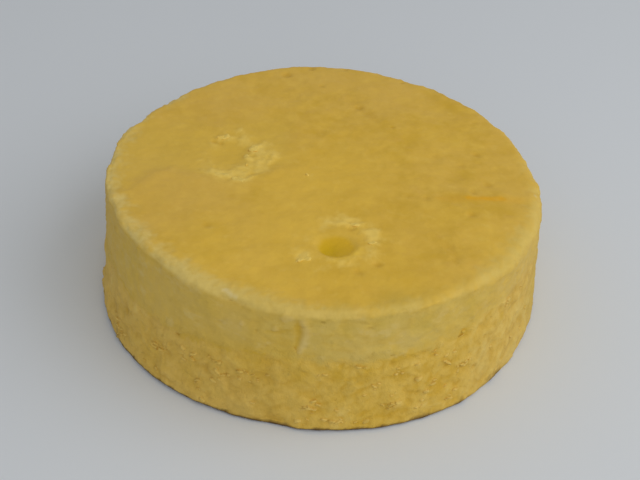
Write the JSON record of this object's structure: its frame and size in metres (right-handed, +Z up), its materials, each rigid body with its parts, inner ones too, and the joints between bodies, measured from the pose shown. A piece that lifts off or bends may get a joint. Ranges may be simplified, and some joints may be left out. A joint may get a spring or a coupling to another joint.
{
  "type": "layered cheesecake",
  "caption": "Round uncut cheesecake with a coarse crumbly base, a smooth pale cream layer and a thin browned top torn in places.",
  "frame": {"origin": "middle of the flat underside", "axes": "+Z up, through the layers; -Y is the front, where the pit torn in the top lies; +X is to the right seen from the front"},
  "size_m": [0.1248, 0.1256, 0.0364],
  "materials": {
    "golden_crumb": "matte",
    "browned_cream": "satin"
  },
  "bodies": {
    "root": {"baked_base": "golden_crumb", "cream_layer": "browned_cream"}
  },
  "joints": []
}
